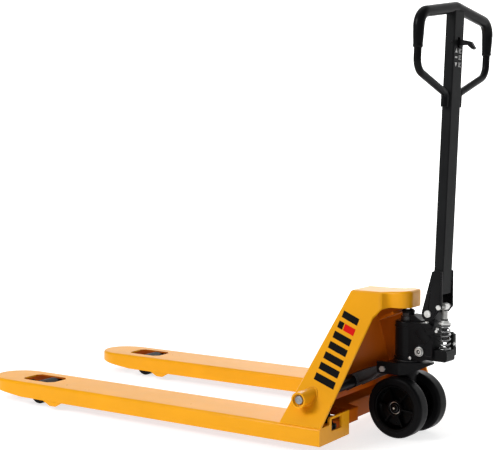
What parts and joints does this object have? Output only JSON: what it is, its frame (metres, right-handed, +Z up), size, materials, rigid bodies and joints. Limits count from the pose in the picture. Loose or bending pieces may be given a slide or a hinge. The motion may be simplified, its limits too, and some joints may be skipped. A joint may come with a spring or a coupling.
{
  "type": "pallet jack",
  "caption": "Hand pallet truck with two long forks, lowered; steering pump unit on twin wheels, springs, linkage, load rollers and a tall tiller with a closed handle.",
  "frame": {"origin": "centre of the bounding box at floor level", "axes": "+X from the fork tips to the handle, +Y to the side, +Z up"},
  "size_m": [1.4968, 0.685, 1.177],
  "materials": {
    "fork_paint": "satin",
    "black_paint": "satin",
    "zinc": "satin",
    "dark_steel": "satin",
    "chrome": "gloss",
    "wheel_plastic": "satin",
    "tyre": "satin",
    "roller": "satin",
    "grip": "satin",
    "lever": "satin"
  },
  "bodies": {
    "frame": {"fork_left": "fork_paint", "fork_right": "fork_paint", "heel_plates": "fork_paint", "exit_skids": "fork_paint", "side_plate_left": "fork_paint", "side_plate_right": "fork_paint", "front_plate": "fork_paint", "top_plate": "fork_paint", "pump_head": "fork_paint", "head_gusset": "fork_paint", "head_socket": "dark_steel", "cross_member": "fork_paint", "shaft_bosses": "fork_paint", "tip_pins": "zinc", "lift_ram": "chrome"},
    "rocker": {"torsion_shaft": "zinc", "rocker_tube": "black_paint", "lift_arms": "black_paint", "lower_arms": "black_paint", "rocker_pins": "zinc"},
    "carriage": {"base_yoke": "black_paint", "yoke_pins": "zinc", "thrust_bearing": "dark_steel"},
    "pump_unit": {"axle_housing": "black_paint", "steer_axle": "zinc", "axle_rings": "zinc", "pump_body": "black_paint", "ram_gland": "dark_steel", "valve_block": "black_paint", "pump_plugs": "zinc", "pump_spring": "dark_steel"},
    "plunger": {"plunger": "chrome", "spring_cap": "zinc"},
    "tiller": {"tiller_bracket": "black_paint", "tiller_pins": "zinc", "tiller_tube": "black_paint", "handle_loop": "black_paint", "handle_grip": "grip", "release_rod": "zinc"},
    "tiller_roller": {"tiller_roller": "dark_steel"},
    "release_lever": {"release_lever": "lever"},
    "release_arm": {"release_arm": "zinc"},
    "push_rod_left": {"push_rod_left": "dark_steel"},
    "toggle_left": {"toggle_link_left": "black_paint"},
    "wheel_frame_left": {"wheel_frame_left": "black_paint", "frame_pins_left": "zinc"},
    "load_roller_left": {"load_roller_left": "roller"},
    "entry_roller_left": {"entry_roller_left": "roller"},
    "steer_wheel_left": {"tyre_left": "tyre", "wheel_rim_left": "wheel_plastic", "wheel_bearings_left": "zinc"},
    "push_rod_right": {"push_rod_right": "dark_steel"},
    "toggle_right": {"toggle_link_right": "black_paint"},
    "wheel_frame_right": {"wheel_frame_right": "black_paint", "frame_pins_right": "zinc"},
    "load_roller_right": {"load_roller_right": "roller"},
    "entry_roller_right": {"entry_roller_right": "roller"},
    "steer_wheel_right": {"tyre_right": "tyre", "wheel_rim_right": "wheel_plastic", "wheel_bearings_right": "zinc"}
  },
  "joints": [
    {"name": "lift", "type": "slide", "parent": "frame", "child": "carriage", "axis": [0, 0, -1], "range_m": [0, 0.11]},
    {"name": "steer", "type": "hinge", "parent": "carriage", "child": "pump_unit", "pos_m": [0.5613, 0, 0.205], "axis": [0, 0, 1], "range_deg": [-80, 90]},
    {"name": "steer_wheel_left", "type": "hinge", "parent": "pump_unit", "child": "steer_wheel_left", "pos_m": [0.55677, -0.0518, 0.084], "axis": [0.0872, 0.9962, 0], "continuous": true},
    {"name": "steer_wheel_right", "type": "hinge", "parent": "pump_unit", "child": "steer_wheel_right", "pos_m": [0.56583, 0.0518, 0.084], "axis": [0.0872, 0.9962, 0], "continuous": true},
    {"name": "tiller", "type": "hinge", "parent": "pump_unit", "child": "tiller", "pos_m": [0.64, -0.00688, 0.346], "axis": [0.0872, 0.9962, 0], "range_deg": [0, 75], "stiffness_Nm_per_rad": 30, "springref_deg": -28.65},
    {"name": "tiller_roller", "type": "hinge", "parent": "tiller", "child": "tiller_roller", "pos_m": [0.67287, -0.00976, 0.366], "axis": [0.0872, 0.9962, 0], "continuous": true},
    {"name": "plunger", "type": "slide", "parent": "pump_unit", "child": "plunger", "axis": [0, 0, -1], "range_m": [0, 0.051], "deforming": ["pump_spring"]},
    {"name": "release_lever", "type": "hinge", "parent": "tiller", "child": "release_lever", "pos_m": [0.69865, -0.01202, 1.0702], "axis": [0.0872, 0.9962, 0], "range_deg": [-14, 14], "stiffness_Nm_per_rad": 0.6},
    {"name": "release_arm", "type": "hinge", "parent": "pump_unit", "child": "release_arm", "pos_m": [0.64206, -0.04069, 0.297], "axis": [0.0872, 0.9962, 0], "range_deg": [-12, 12]},
    {"name": "rocker", "type": "hinge", "parent": "frame", "child": "rocker", "pos_m": [0.4113, 0, 0.139], "axis": [0, 1, 0], "range_deg": [0, 56.05]},
    {"name": "push_rod_left", "type": "slide", "parent": "frame", "child": "push_rod_left", "axis": [-1, 0, 0], "range_m": [0, 0.08739]},
    {"name": "toggle_left", "type": "hinge", "parent": "frame", "child": "toggle_left", "pos_m": [-0.5497, -0.2625, 0.052], "axis": [0, 1, 0], "range_deg": [0, 62.51]},
    {"name": "wheel_frame_left", "type": "hinge", "parent": "toggle_left", "child": "wheel_frame_left", "pos_m": [-0.48253, -0.2625, 0.0435], "axis": [0, 1, 0], "range_deg": [-125.02, 0]},
    {"name": "load_roller_left", "type": "hinge", "parent": "wheel_frame_left", "child": "load_roller_left", "pos_m": [-0.5497, -0.2625, 0.035], "axis": [0, 1, 0], "continuous": true},
    {"name": "entry_roller_left", "type": "hinge", "parent": "frame", "child": "entry_roller_left", "pos_m": [-0.6417, -0.2385, 0.036], "axis": [0, 1, 0], "continuous": true},
    {"name": "push_rod_right", "type": "slide", "parent": "frame", "child": "push_rod_right", "axis": [-1, 0, 0], "range_m": [0, 0.08739]},
    {"name": "toggle_right", "type": "hinge", "parent": "frame", "child": "toggle_right", "pos_m": [-0.5497, 0.2625, 0.052], "axis": [0, 1, 0], "range_deg": [0, 62.51]},
    {"name": "wheel_frame_right", "type": "hinge", "parent": "toggle_right", "child": "wheel_frame_right", "pos_m": [-0.48253, 0.2625, 0.0435], "axis": [0, 1, 0], "range_deg": [-125.02, 0]},
    {"name": "load_roller_right", "type": "hinge", "parent": "wheel_frame_right", "child": "load_roller_right", "pos_m": [-0.5497, 0.2625, 0.035], "axis": [0, 1, 0], "continuous": true},
    {"name": "entry_roller_right", "type": "hinge", "parent": "frame", "child": "entry_roller_right", "pos_m": [-0.6417, 0.2385, 0.036], "axis": [0, 1, 0], "continuous": true}
  ],
  "couplings": [
    {"joint": "rocker", "follows": "lift", "rad_per_m": 8.8904},
    {"joint": "push_rod_left", "follows": "lift", "ratio": 0.79425},
    {"joint": "toggle_left", "follows": "lift", "rad_per_m": 9.9154},
    {"joint": "wheel_frame_left", "follows": "lift", "rad_per_m": -19.831},
    {"joint": "push_rod_right", "follows": "lift", "ratio": 0.79425},
    {"joint": "toggle_right", "follows": "lift", "rad_per_m": 9.9154},
    {"joint": "wheel_frame_right", "follows": "lift", "rad_per_m": -19.831},
    {"joint": "plunger", "follows": "tiller", "m_per_rad": 0.0384},
    {"joint": "release_arm", "follows": "release_lever", "ratio": 0.8}
  ]
}
